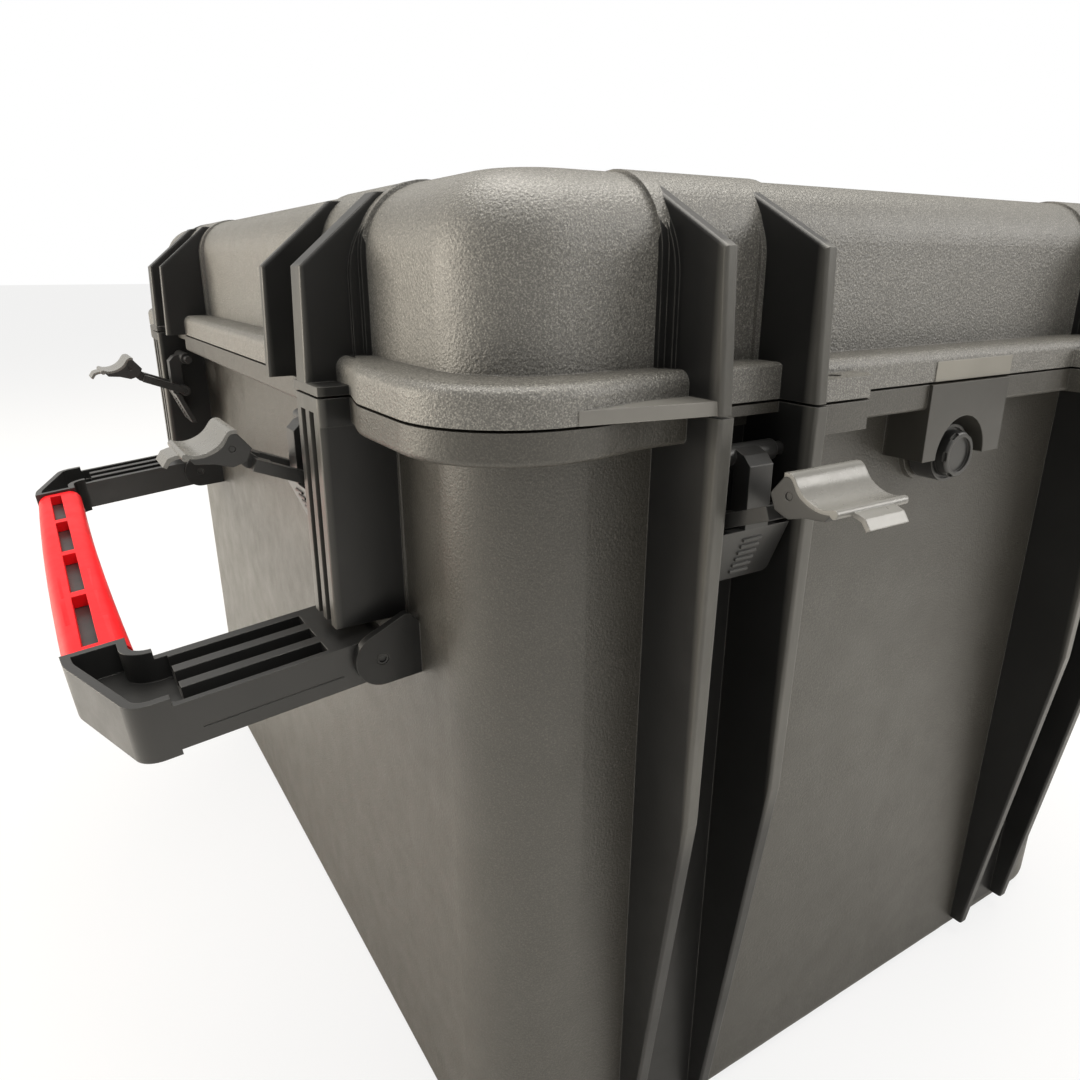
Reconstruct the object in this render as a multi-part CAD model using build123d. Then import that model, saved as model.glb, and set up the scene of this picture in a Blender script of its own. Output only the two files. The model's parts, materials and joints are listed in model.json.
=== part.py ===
from build123d import *
import os
from math import cos, radians, sin

# Waterproof transport case: a deep tub with a shallow hinged lid, six draw latches, two folding
# handles, a lid seal and a pressure valve. Millimetres, +Z up, origin at the middle of the
# underside. The valve side is the front (-Y), and the handles are on the left and right (-X, +X).

# Shells
BODY_X = 551.0            # outside of the side walls at the parting line
BODY_Y = 686.0            # outside of the front and back walls at the parting line
PARTING_Z = 447.6         # top face of the base rim
PARTING_GAP = 1.1         # open line between base and lid
LID_TOP_Z = 540.5
WALL = 5.0
FLOOR = 6.0
CORNER_R = 46.0           # upright corners of both shells
BASE_LEAN = 5.0           # how far each base wall leans in from rim to floor
BOTTOM_EDGE_R = 12.0
LID_EDGE_R = 26.0

# Flanges
FLANGE_OUT = 21.5         # flange edge beyond the wall
CORNER_OUT = 28.0         # flange edge at the bulged corners
CORNER_BULGE_R = 48.0
BULGE_STRAIGHT = 12.0     # straight edge between a bulge's ramp and its round corner
RAMP_LENGTH = 26.0        # along the wall, where the edge swells out to a bulge
RAMP_KINK_R = 40.0
LID_FLANGE_H = 15.6
BASE_FLANGE_H = 13.0
FLANGE_EDGE_R = 5.5       # rounded upper edge of the lid flange
BASE_FLANGE_EDGE_R = 2.5  # rounded lower edge of the base flange
BAY_FLANGE_OUT = 19.5     # flange edge inside a latch bay
BAY_LIP_H = 4.6           # base lip left inside a latch bay
LID_CORNER_OUT = 5.5      # the lid's corners stand this far out beyond its walls
LID_CORNER_DROP = 0.8     # and their crest lies this far below its top
LID_CORNER_R = 38.0

# Latch bays and ribs
LATCH_X = 164.75          # bay centres on the front and back
LATCH_Y = 192.25          # bay centres on the left and right
BAY_W = 46.5
RIB_T = 8.0
LID_RIB_T = 6.5
RIB_EDGE_R = 1.6
RIB_TUCK = 2.0            # ribs start this far inside the wall
FRONT_RIB_OUT = 40.5      # rib edges beyond the wall at the parting line
SIDE_RIB_OUT = 36.5
BACK_RIB_OUT = 37.5
BASE_SHOULDER_OUT = 36.0  # front rib edge at the base's shoulder
BASE_RIB_SHOULDER_Z = 257.0
BASE_RIB_FOOT_Z = 14.0
BASE_RIB_FOOT_OUT = 4.0
SHORT_RIB_Z = 367.0       # outer corner of the short ribs on the sides
SHORT_RIB_FOOT_Z = 336.0
FRONT_SHOULDER_OUT = 37.5  # front rib corner on the lid
FRONT_SHOULDER_DROP = 29.5  # and its place below the lid top
FRONT_RUN_IN = 13.0       # where the front rib meets the rounded lid edge, inside the wall line
FRONT_RUN_DROP = 3.0      # and below the lid top
SIDE_SHOULDER_OUT = 34.5
SIDE_SHOULDER_DROP = 36.5
SIDE_RUN_IN = 3.0
SIDE_RUN_DROP = 4.5
BAND_OUT = 2.7            # low band on the lid around each rib pair
BAND_W = 5.6              # how far it reaches beyond the ribs
BAND_RISE = 1.2           # its crest above the lid top
STEP_W = 2.2              # narrow high step at the root of the rib beside the corner
STEP_OUT = 12.7
STEP_DROP = 3.0
LEDGE_W = 2.5             # thin ledge at the root of the other rib, inside the bay
LEDGE_OUT = 5.2

# Handle columns
COLUMN_W = 36.0
COLUMN_OUT = 36.5
COLUMN_BOTTOM_Z = 335.5
COLUMN_EDGE_R = 3.0
COLUMN_RECESS = 1.5       # the face towards the corner steps back below the flange
COLUMN_PLATE_H = 4.2      # plate on the lid over each column
COLUMN_RIB_T = 15.5
COLUMN_RIB_SHIFT = 6.75   # lid rib over the column, from the column's middle towards the bay
GROOVE_W = 7.0
GROOVE_DEPTH = 4.0
GROOVE_PITCH = 12.5
GROOVE_TOP_DROP = 7.0

# Lip bar and padlock lug
BAR_LENGTH = 61.0
BAR_NEAR_OUT = 38.5       # at the rib
BAR_FAR_STEP = 0.4        # beyond the bulge's edge at its far end
BAR_H = 5.6
LUG_LENGTH = 36.5
LUG_OUT = 37.5
LUG_H = 9.6
LUG_HOLE_R = 3.5
LUG_HOLE_FROM_RIB = 15.25
LUG_HOLE_OUT = 28.0
LUG_CORNER_R = 7.0
PATCH_X = 0.0             # smooth patch on the lid flange above the valve
PATCH_W = 66.0
PATCH_OUT = 0.5

# Lid seal
SEAL_OUT = 6.0            # middle of the groove beyond the wall
GROOVE_WIDE = 6.0
SEAL_DEPTH = 5.0
SEAL_W = 5.4
SEAL_H = 3.2
TONGUE_W = 3.6
SOFT_GAP = 0.3            # between the seal and the tongue

# Back hinge
HINGE_OUT = 30.0
HINGE_Z = 440.0
HINGE_BARREL_R = 7.0
HINGE_PIN_R = 3.0
HINGE_SIDE_GAP = 0.5
HINGE_RIB_T = 6.0
PIN_PLAY = 0.05           # radial running clearance of every pin
PIN_INSET = 0.4           # pins end this far inside the faces they pass
PIN_COVER = 2.0           # rib left closed over each end of a latch hinge pin

# Latch lever
LEVER_OUT = 21.45
LEVER_Z = 427.35
LEVER_PIN_R = 3.0
LEVER_EYE_R = 4.7
LEVER_EYE_W = 36.0
LEVER_STRAP_W = 13.4
LEVER_FACE_OUT = 34.4
LEVER_FOOT_OUT = 23.5     # face of the grip plate at its foot
LEVER_TOP_Z = 430.2
LEVER_PLATE_W = 40.0
LEVER_PLATE_TOP_Z = 397.2
LEVER_PLATE_BOTTOM_Z = 371.0
LEVER_PLATE_T = 4.2
PLATE_CORNER_R = 3.0
GRIP_LINES = 6
GRIP_LINE_PITCH = 3.3
GRIP_LINE_DROP = 5.4      # first line below the plate's top
GRIP_LINE_W = 11.0
GRIP_LINE_H = 0.9

# Bail
BAIL_OUT = 25.85
BAIL_Z = 399.85
BAIL_PIN_R = 2.0
BAIL_EYE_R = 4.2
BAIL_SLOPE = 21.7         # arms rise outwards in the pose of the drawing
BAIL_T = 6.0
BAIL_OUTER_W = 40.0
BAIL_ARM_W = 6.6
BAIL_SIDE_GAP = 0.25
BAIL_ARM_END = 34.5       # length of the arms from the bail pin
BAIL_WEB = 9.0            # webs between the arms and the tongue, along the arms
BAIL_WEB_CLEAR = 2.2      # between the webs and the lever's strap, at each side
TONGUE_START = 31.5       # along the arms
TONGUE_END_W = 25.6

# Hook
HOOK_OUT = 67.4
HOOK_Z = 421.7
HOOK_PIN_R = 1.6
HOOK_EYE_R = 3.2
HOOK_W = 40.0
HOOK_PLATE_T = 1.8
HOOK_ROLL_R = 1.8
HOOK_ROLL_AT = 21.0       # from the hook pin
HOOK_ROLL_DROP = 2.0
HOOK_TAB_W = 22.0
HOOK_CHEEK_GAP = 0.4

# Handle
PIVOT_OUT = 18.75
PIVOT_Z = 321.2
PIVOT_R = 3.0
EAR_R = 13.75
EAR_T = 4.5
EAR_GAP = 0.3
EAR_TOP_RISE = 17.5
EAR_SMALL_R = 3.5
ARM_UP = 10.0             # arm top above the pivot
ARM_DOWN = 12.0           # arm underside below the pivot
ARM_W = 58.5
ARM_SHIFT = 3.25          # arm's middle, from the column's middle towards the bay
ARM_CORNER_REACH = 112.0  # where the frame's outer side turns
ARM_CORNER_R = 12.0
FRAME_BEND_X = 192.0      # where its end turns towards the grip
FRAME_BEND_BACK = 1.0     # short of the grip's end face
FRAME_BEND_R = 30.0
FRAME_INNER_R = 10.0
FRAME_INNER_STEP = 2.5    # the frame's inner edge, outside the grip's inner end
HANDLE_REACH = 136.5      # pivot to the outer face at mid grip
GRIP_LENGTH = 355.0
GRIP_W = 32.5
GRIP_BOW = 2.0
GRIP_UP = 12.0
GRIP_DOWN = 15.0
GRIP_EDGE_R = 8.5
GRIP_END_GAP = 0.3
CORE_W = 16.0
CORE_H = 12.0
CORE_FIT = 0.15
WINDOWS = 4
WINDOW_BRIDGE = 8.5
WINDOW_W = 8.0
WINDOW_DEPTH = 15.0
CORNER_DOWN = 14.5        # corner underside below the pivot
CORNER_START = 96.0       # reach where the deeper corner starts
LIP_UP = 14.0             # raised lip round the corner pocket
LIP_W = 4.5
LIP_START = 95.0
POCKET_START = 89.0
POCKET_DEPTH = 12.0
ARM_SLOTS = 3
SLOT_W = 11.5
SLOT_PITCH = 18.5
SLOT_WALL = 3.5           # between the first slot and the arm's outer side
SLOT_DEPTH = 8.0
SLOT_START = 23.5         # from the pivot
LINE_DOWN = 4.6           # fine line along the arm's outer side, below the pivot
LINE_START = 19.0
LINE_END = 85.0
LINE_H = 0.8
LINE_DEPTH = 0.4
HANDLE_DROOP = 6.0        # stored pose, below level
SOCKET_R = 2.0            # small socket in the pins' heads
SOCKET_DEPTH = 1.2

# Pressure valve
VALVE_X = -4.8
VALVE_Z = 408.7
VALVE_SEAT_OUT = 3.0
VALVE_SEAT_R = 17.5
VALVE_R = 15.5
VALVE_RIM = 1.6           # raised rim round the body's face
VALVE_FLANGE_T = 13.0
VALVE_STEM_R = 6.0
VALVE_HOLE_PLAY = 0.2
VALVE_CAP_R = 12.4
VALVE_CAP_T = 6.0
VALVE_CAP_RIM = 3.0
VALVE_RING_T = 2.0
VALVE_NUT_R = 10.5
VALVE_NUT_T = 6.0
NUT_GAP = 0.05            # between the nut and the leaning wall at their nearest point
VALVE_NOTCHES = 6
TAB_LEFT = -36.5
TAB_RIGHT = 31.0
TAB_BOTTOM_Z = 408.0
TAB_NOTCH_GAP = 5.5       # round the valve's body

LID_BOTTOM_Z = PARTING_Z + PARTING_GAP
BASE_FLANGE_Z = PARTING_Z - BASE_FLANGE_H
RIB_AT = BAY_W / 2 + RIB_T / 2
RIB_PAIR_HALF = BAY_W / 2 + RIB_T
LID_RIB_SHIFT = (RIB_T - LID_RIB_T) / 2
COLUMN_AT = BAY_W / 2 + COLUMN_W / 2
LID_COLUMN_AT = COLUMN_AT - COLUMN_RIB_SHIFT
FRONT_LID_RIB = (FRONT_RIB_OUT, FRONT_SHOULDER_OUT, FRONT_SHOULDER_DROP, FRONT_RUN_IN, FRONT_RUN_DROP)
SIDE_LID_RIB = (SIDE_RIB_OUT, SIDE_SHOULDER_OUT, SIDE_SHOULDER_DROP, SIDE_RUN_IN, SIDE_RUN_DROP)
BACK_LID_RIB = (BACK_RIB_OUT, BACK_RIB_OUT, FRONT_SHOULDER_DROP, FRONT_RUN_IN, FRONT_RUN_DROP)
TONGUE_TOP_Z = LID_BOTTOM_Z + SEAL_DEPTH - SEAL_H - SOFT_GAP


def station(side, along):
    """Local frame of a wall: x runs along it, -y points outwards, and z is height."""
    frames = {
        "front": Location((along, -BODY_Y / 2, 0)),
        "back": Location((along, BODY_Y / 2, 0), (0, 0, 180)),
        "left": Location((-BODY_X / 2, along, 0), (0, 0, -90)),
        "right": Location((BODY_X / 2, along, 0), (0, 0, 90)),
    }
    return frames[side]


LATCHES = {
    "front_left": station("front", -LATCH_X),
    "front_right": station("front", LATCH_X),
    "left_front": station("left", -LATCH_Y),
    "left_back": station("left", LATCH_Y),
    "right_front": station("right", -LATCH_Y),
    "right_back": station("right", LATCH_Y),
}
HINGES = [station("back", -LATCH_X), station("back", LATCH_X)]


def side_face(points):
    """Face in the local side view, from (outwards, height) points."""
    return Plane.YZ * make_face(Polyline([(-out, z) for out, z in points], close=True))


def side_disc(out, z, radius):
    return Plane.YZ * (Pos(-out, z) * Circle(radius))


def across(face, x_low, x_high):
    """Solid from a side view face, from x_low to x_high along the wall."""
    return Pos(x_low, 0, 0) * extrude(face, amount=x_high - x_low, dir=(1, 0, 0))


def side_prism(points, x_low, x_high):
    return across(side_face(points), x_low, x_high)


def side_rod(out, z, radius, x_low, x_high):
    return across(side_disc(out, z, radius), x_low, x_high)


def rounded_block(extra, radius, z_low, z_high):
    """Upright block with the shells' plan, grown by extra all round."""
    plan = Pos(0, 0, z_low) * RectangleRounded(BODY_X + 2 * extra, BODY_Y + 2 * extra, radius)
    return extrude(plan, amount=z_high - z_low)


def ring_band(middle, width, z_low, z_high):
    """Closed band that follows the walls, its middle line this far outside them."""
    outer = rounded_block(middle + width / 2, CORNER_R + middle + width / 2, z_low, z_high)
    inner = rounded_block(middle - width / 2, CORNER_R + middle - width / 2, z_low, z_high)
    return outer - inner


def lean_at(z):
    """How far a base wall stands inside its place at the rim."""
    return BASE_LEAN * (PARTING_Z - z) / PARTING_Z


def leaning_block(inset, z_low, z_high, radius):
    """Tub shape whose walls lean in by BASE_LEAN from the rim to the floor."""
    def plan(z):
        lean = inset + lean_at(z)
        return Pos(0, 0, z) * RectangleRounded(BODY_X - 2 * lean, BODY_Y - 2 * lean, radius)
    return loft([plan(z_low), plan(z_high)])


def all_round(quarter):
    """Repeats the (x, y, radius) corners of one quarter of a plan in its four quarters."""
    corners = []
    for sign_x, sign_y in ((1, 1), (1, -1), (-1, -1), (-1, 1)):
        run = quarter if sign_x == sign_y else quarter[::-1]
        corners += [(sign_x * x, sign_y * y, radius) for x, y, radius in run]
    return corners


def outline(corners):
    """Closed face through (x, y, radius) corners."""
    points = [(x, y) for x, y, radius in corners]
    return make_face(FilletPolyline(*points, radius=[radius for x, y, radius in corners], close=True))


def flange_block(z_low, z_high):
    """Flange all round, whose edge swells out to a bulge at each corner."""
    edge_x = BODY_X / 2 + FLANGE_OUT
    edge_y = BODY_Y / 2 + FLANGE_OUT
    corner_x = BODY_X / 2 + CORNER_OUT
    corner_y = BODY_Y / 2 + CORNER_OUT
    ramp_x = corner_x - CORNER_BULGE_R - BULGE_STRAIGHT
    ramp_y = LATCH_Y + COLUMN_AT + COLUMN_W / 2
    quarter = [
        (ramp_x - RAMP_LENGTH, edge_y, RAMP_KINK_R), (ramp_x, corner_y, RAMP_KINK_R),
        (corner_x, corner_y, CORNER_BULGE_R),
        (corner_x, ramp_y + RAMP_LENGTH, RAMP_KINK_R), (edge_x, ramp_y, RAMP_KINK_R),
    ]
    return extrude(Pos(0, 0, z_low) * outline(all_round(quarter)), amount=z_high - z_low)


def corners_only(block, x_limit, y_limit, z_low, z_high):
    """What is left of a block beyond x_limit and beyond y_limit."""
    big = 2 * (BODY_X + BODY_Y)
    middle = (z_low + z_high) / 2
    height = 2 * (z_high - z_low)
    along_y = Pos(0, 0, middle) * Box(2 * x_limit, big, height)
    along_x = Pos(0, 0, middle) * Box(big, 2 * y_limit, height)
    return block - along_y - along_x


def lid_corners():
    """The lid's four corners, which stand out beyond its walls and end inside the ribs beside them."""
    block = rounded_block(LID_CORNER_OUT, LID_CORNER_R, LID_BOTTOM_Z, LID_TOP_Z - LID_CORNER_DROP)
    edge_r = LID_EDGE_R + LID_CORNER_OUT - LID_CORNER_DROP
    block = fillet(block.faces().sort_by(Axis.Z)[-1].edges(), edge_r)
    x_limit = LATCH_X + RIB_PAIR_HALF - LID_RIB_T / 2
    y_limit = LATCH_Y + LID_COLUMN_AT
    return corners_only(block, x_limit, y_limit, LID_BOTTOM_Z, LID_TOP_Z)


def side_centres():
    """Every latch or hinge bay, and the sign that points along its wall to the nearer corner."""
    bays = []
    for side, reach in (("front", LATCH_X), ("back", LATCH_X), ("left", LATCH_Y), ("right", LATCH_Y)):
        for along in (-reach, reach):
            turned = 1 if side in ("front", "right") else -1
            bays.append((side, station(side, along), turned * (1 if along > 0 else -1)))
    return bays


def soft_edges(rib):
    """Rounds the outer upright and sloping edges of a rib."""
    outer = [edge for edge in rib.edges() if edge.center().Y < -1 and abs(edge.tangent_at(0.5).Z) > 0.2]
    shortest = min(edge.length for edge in outer)
    return fillet(outer, min(RIB_EDGE_R, 0.4 * shortest))


def base_rib(x_middle, top_out, shoulder_out, shoulder_z, foot_out, foot_z):
    points = [
        (-RIB_TUCK, PARTING_Z), (top_out, PARTING_Z), (shoulder_out, shoulder_z),
        (foot_out, foot_z), (-BASE_LEAN - 1, foot_z),
    ]
    return soft_edges(side_prism(points, x_middle - RIB_T / 2, x_middle + RIB_T / 2))


def lid_rib(x_middle, thick, low_z, form):
    """Rib from the parting line over the lid's rounded edge, with the edge line of one side's form."""
    low_out, shoulder_out, shoulder_drop, run_in, run_drop = form
    deep = max(run_in, LID_EDGE_R / 2) + RIB_TUCK
    points = [
        (-deep, low_z), (low_out, low_z), (shoulder_out, LID_TOP_Z - shoulder_drop),
        (-run_in, LID_TOP_Z - run_drop), (-deep, LID_TOP_Z - run_drop),
    ]
    return soft_edges(side_prism(points, x_middle - thick / 2, x_middle + thick / 2))


def wall_band(proud, top_z, x_low, x_high):
    """Band on the lid's wall that follows its rounded edge and stands this far out from the wall."""
    radius = LID_EDGE_R + proud
    middle_z = top_z - radius
    low_z = middle_z - LID_TOP_Z
    upright = side_face([(-LID_EDGE_R, low_z), (proud, low_z), (proud, middle_z), (-LID_EDGE_R, middle_z)])
    above = side_face([(-LID_TOP_Z, LID_BOTTOM_Z), (LID_TOP_Z, LID_BOTTOM_Z),
                       (LID_TOP_Z, 2 * LID_TOP_Z), (-LID_TOP_Z, 2 * LID_TOP_Z)])
    return across((upright + side_disc(-LID_EDGE_R, middle_z, radius)) & above, x_low, x_high)


def spanning(corner, near, far):
    """Ordered ends of a stretch given by its distances from the bay's middle towards the corner."""
    return sorted((corner * near, corner * far))


def bay_bands(is_side, corner):
    """Bands, step and ledge on the lid's wall around one latch bay."""
    crest_z = LID_TOP_Z + BAND_RISE
    edge = LID_COLUMN_AT + COLUMN_RIB_T / 2 if is_side else RIB_PAIR_HALF
    inside = LID_RIB_SHIFT + RIB_EDGE_R
    bands = wall_band(BAND_OUT, crest_z, *spanning(corner, -RIB_PAIR_HALF - BAND_W, edge - inside))
    bands += wall_band(LID_CORNER_OUT + BAND_OUT, crest_z, *spanning(corner, edge - inside, edge + BAND_W))
    bands += wall_band(STEP_OUT, LID_TOP_Z - STEP_DROP, *spanning(corner, edge - inside, edge + STEP_W))
    bands += wall_band(LEDGE_OUT, LID_TOP_Z - STEP_DROP,
                       *spanning(corner, -RIB_AT, -RIB_AT + RIB_T / 2 + LEDGE_W))
    return bands


def lug(z_low, z_high, toward):
    """Padlock lug beside the inner rib; toward is +1 or -1 along the wall."""
    near = RIB_PAIR_HALF - RIB_T / 2
    far = RIB_PAIR_HALF + LUG_LENGTH
    middle = (near + far) / 2
    plan = Pos(toward * middle, -LUG_OUT / 2, z_low) * Rectangle(far - near, LUG_OUT)
    body = extrude(plan, amount=z_high - z_low)
    corner = body.edges().filter_by(Axis.Z).filter_by(
        lambda edge: edge.center().Y < -LUG_OUT + 1 and toward * edge.center().X > middle)
    body = chamfer(corner, LUG_CORNER_R)
    hole = Pos(toward * (RIB_PAIR_HALF + LUG_HOLE_FROM_RIB), -LUG_HOLE_OUT, z_low) * Cylinder(
        LUG_HOLE_R, 4 * (z_high - z_low))
    return body, hole


def make_base():
    base = leaning_block(0, 0, PARTING_Z, CORNER_R)
    base = fillet(base.faces().sort_by(Axis.Z)[0].edges(), BOTTOM_EDGE_R)
    flange = flange_block(BASE_FLANGE_Z, PARTING_Z)
    base += fillet(flange.faces().sort_by(Axis.Z)[0].edges(), BASE_FLANGE_EDGE_R)
    relief_h = BASE_FLANGE_H - BAY_LIP_H
    relief = Pos(0, -FLANGE_OUT, BASE_FLANGE_Z + relief_h / 2) * Box(BAY_W, 2 * FLANGE_OUT - 2, relief_h)
    trim = Pos(0, -BAY_FLANGE_OUT - CORNER_OUT, PARTING_Z - BASE_FLANGE_H / 2) * Box(
        BAY_W, 2 * CORNER_OUT, 2 * BASE_FLANGE_H)
    cuts = []
    for side, place, corner in side_centres():
        base -= place * relief
        base -= place * trim
        inner = -corner
        if side in ("left", "right"):
            rib = base_rib(inner * RIB_AT, SIDE_RIB_OUT, SIDE_RIB_OUT, SHORT_RIB_Z, 0, SHORT_RIB_FOOT_Z)
            base += place * rib
            base += place * column(corner)
        else:
            top_out = FRONT_RIB_OUT if side == "front" else BACK_RIB_OUT
            shoulder_out = BASE_SHOULDER_OUT if side == "front" else BACK_RIB_OUT
            for x_middle in (-RIB_AT, RIB_AT):
                base += place * base_rib(x_middle, top_out, shoulder_out, BASE_RIB_SHOULDER_Z,
                                         BASE_RIB_FOOT_OUT, BASE_RIB_FOOT_Z)
        if side == "front":
            body, hole = lug(BASE_FLANGE_Z, PARTING_Z, inner)
            base += place * body
            cuts.append(place * hole)
        if side == "back":
            cuts.append(place * side_rod(HINGE_OUT, HINGE_Z, HINGE_PIN_R + PIN_PLAY, -BAY_W, BAY_W))
        else:
            cuts.append(place * side_rod(LEVER_OUT, LEVER_Z, LEVER_PIN_R + PIN_PLAY,
                                         -RIB_PAIR_HALF + PIN_COVER, RIB_PAIR_HALF - PIN_COVER))
    base += valve_tab()
    base += ring_band(SEAL_OUT, TONGUE_W, PARTING_Z - 1, TONGUE_TOP_Z)
    base -= leaning_block(WALL, FLOOR, PARTING_Z + 0.001, CORNER_R - WALL)
    base -= valve_hole()
    for cut in cuts:
        base -= cut
    return base


def column(corner):
    """Handle column on one side of a side bay, with the two ears for the handle arm."""
    middle = corner * COLUMN_AT
    points = [(-3, COLUMN_BOTTOM_Z), (COLUMN_OUT, COLUMN_BOTTOM_Z), (COLUMN_OUT, PARTING_Z), (-3, PARTING_Z)]
    body = side_prism(points, middle - COLUMN_W / 2, middle + COLUMN_W / 2)
    upright = body.edges().filter_by(Axis.Z).filter_by(lambda edge: edge.center().Y < -COLUMN_OUT + 1)
    body = fillet(upright, COLUMN_EDGE_R)
    recess_x = middle + corner * COLUMN_W / 2
    recess_h = BASE_FLANGE_Z - COLUMN_BOTTOM_Z
    body -= Pos(recess_x, -COLUMN_OUT, COLUMN_BOTTOM_Z + recess_h / 2) * Box(
        2 * COLUMN_RECESS, 2 * COLUMN_OUT, recess_h)
    top = PARTING_Z - GROOVE_TOP_DROP
    for offset in (-GROOVE_PITCH / 2, GROOVE_PITCH / 2):
        groove_middle = (middle + offset, -COLUMN_OUT, (COLUMN_BOTTOM_Z + top) / 2)
        body -= Pos(*groove_middle) * Box(GROOVE_W, 2 * GROOVE_DEPTH, top - COLUMN_BOTTOM_Z + 0.001)
    arm_middle = corner * (COLUMN_AT - ARM_SHIFT)
    for low in (arm_middle - ARM_W / 2 - EAR_GAP - EAR_T, arm_middle + ARM_W / 2 + EAR_GAP):
        body += across(ear_face(), low, low + EAR_T)
    shaft = side_rod(PIVOT_OUT, PIVOT_Z, PIVOT_R + PIN_PLAY, arm_middle - ARM_W, arm_middle + ARM_W)
    return body - shaft


def ear_face():
    """Teardrop ear: round at the pivot, running up and back into the wall."""
    top = Pos(-EAR_SMALL_R - 2, PIVOT_Z + EAR_TOP_RISE) * Circle(EAR_SMALL_R)
    eye = Pos(-PIVOT_OUT, PIVOT_Z) * Circle(EAR_R)
    root = Pos(2, PIVOT_Z) * Rectangle(4, 2 * EAR_SMALL_R + EAR_TOP_RISE)
    hull = make_hull(Sketch([top, eye, root]).edges())
    return Plane.YZ * hull


def valve_tab():
    """Smooth tab that hangs from the base flange round the valve's upper half, with the valve's seat."""
    tab = Pos((TAB_LEFT + TAB_RIGHT) / 2, -(BODY_Y + FLANGE_OUT) / 2, (TAB_BOTTOM_Z + PARTING_Z) / 2) * Box(
        TAB_RIGHT - TAB_LEFT, FLANGE_OUT + 2 * RIB_TUCK, PARTING_Z - TAB_BOTTOM_Z)
    notch = Pos(VALVE_X, -BODY_Y / 2 - FLANGE_OUT, VALVE_Z) * Rot(90, 0, 0) * Cylinder(
        VALVE_R + TAB_NOTCH_GAP, 2 * (FLANGE_OUT - VALVE_SEAT_OUT))
    seat = Pos(VALVE_X, -BODY_Y / 2, VALVE_Z) * Rot(90, 0, 0) * Cylinder(VALVE_SEAT_R, 2 * VALVE_SEAT_OUT)
    return tab - notch + seat


def valve_hole():
    return Pos(VALVE_X, -BODY_Y / 2, VALVE_Z) * Rot(90, 0, 0) * Cylinder(
        VALVE_STEM_R + VALVE_HOLE_PLAY, 4 * WALL)


def make_lid():
    flange_top = LID_BOTTOM_Z + LID_FLANGE_H
    lid = rounded_block(0, CORNER_R, LID_BOTTOM_Z, LID_TOP_Z)
    lid = fillet(lid.faces().sort_by(Axis.Z)[-1].edges(), LID_EDGE_R)
    flange = flange_block(LID_BOTTOM_Z, flange_top)
    lid += fillet(flange.faces().sort_by(Axis.Z)[-1].edges(), FLANGE_EDGE_R)
    lid += lid_corners()
    lid += flange_patch(flange_top)
    trim = Pos(0, -BAY_FLANGE_OUT - CORNER_OUT, flange_top) * Box(BAY_W, 2 * CORNER_OUT, 2 * LID_FLANGE_H + 1)
    cuts = []
    for side, place, corner in side_centres():
        inner = -corner
        if side == "back":
            lid += place * hinge_leaf()
            cuts.append(place * side_rod(HINGE_OUT, HINGE_Z, HINGE_PIN_R + PIN_PLAY, -BAY_W, BAY_W))
            continue
        lid -= place * trim
        is_side = side != "front"
        lid += place * bay_bands(is_side, corner)
        form = SIDE_LID_RIB if is_side else FRONT_LID_RIB
        lid += place * lid_rib(inner * (RIB_AT - LID_RIB_SHIFT), LID_RIB_T, LID_BOTTOM_Z, form)
        if is_side:
            lid += place * lid_rib(corner * LID_COLUMN_AT, COLUMN_RIB_T, LID_BOTTOM_Z, form)
            plate_top = LID_BOTTOM_Z + COLUMN_PLATE_H
            plate = [(-3, LID_BOTTOM_Z), (COLUMN_OUT, LID_BOTTOM_Z), (COLUMN_OUT, plate_top), (-3, plate_top)]
            near, far = corner * COLUMN_AT - COLUMN_W / 2, corner * COLUMN_AT + COLUMN_W / 2
            lid += place * side_prism(plate, near, far)
        else:
            lid += place * lid_rib(corner * (RIB_AT + LID_RIB_SHIFT), LID_RIB_T, LID_BOTTOM_Z, form)
            body, hole = lug(LID_BOTTOM_Z, LID_BOTTOM_Z + LUG_H, inner)
            lid += place * body
            cuts.append(place * hole)
            lid += place * lip_bar(corner)
    lid -= lid_cavity()
    lid -= ring_band(SEAL_OUT, GROOVE_WIDE, LID_BOTTOM_Z - 1, LID_BOTTOM_Z + SEAL_DEPTH)
    for cut in cuts:
        lid -= cut
    return lid


def flange_patch(flange_top):
    """Smooth patch on the front of the lid's flange, above the valve."""
    height = flange_top - FLANGE_EDGE_R - LID_BOTTOM_Z
    return Pos(PATCH_X, -BODY_Y / 2 - FLANGE_OUT, LID_BOTTOM_Z + height / 2) * Box(
        PATCH_W, 2 * PATCH_OUT, height)


def lid_cavity():
    cavity = rounded_block(-WALL, CORNER_R - WALL, LID_BOTTOM_Z - 1, LID_TOP_Z - WALL)
    return fillet(cavity.faces().sort_by(Axis.Z)[-1].edges(), LID_EDGE_R - WALL)


def lip_bar(corner):
    """Thin smooth bar along the lid's lower edge, slanting in from the first rib to the bulged corner."""
    near = RIB_PAIR_HALF - LID_RIB_T / 2
    far = near + BAR_LENGTH
    points = [(corner * near, 0), (corner * near, -BAR_NEAR_OUT),
              (corner * far, -CORNER_OUT - BAR_FAR_STEP), (corner * far, 0)]
    return extrude(Pos(0, 0, LID_BOTTOM_Z) * make_face(Polyline(points, close=True)), amount=BAR_H)


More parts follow.
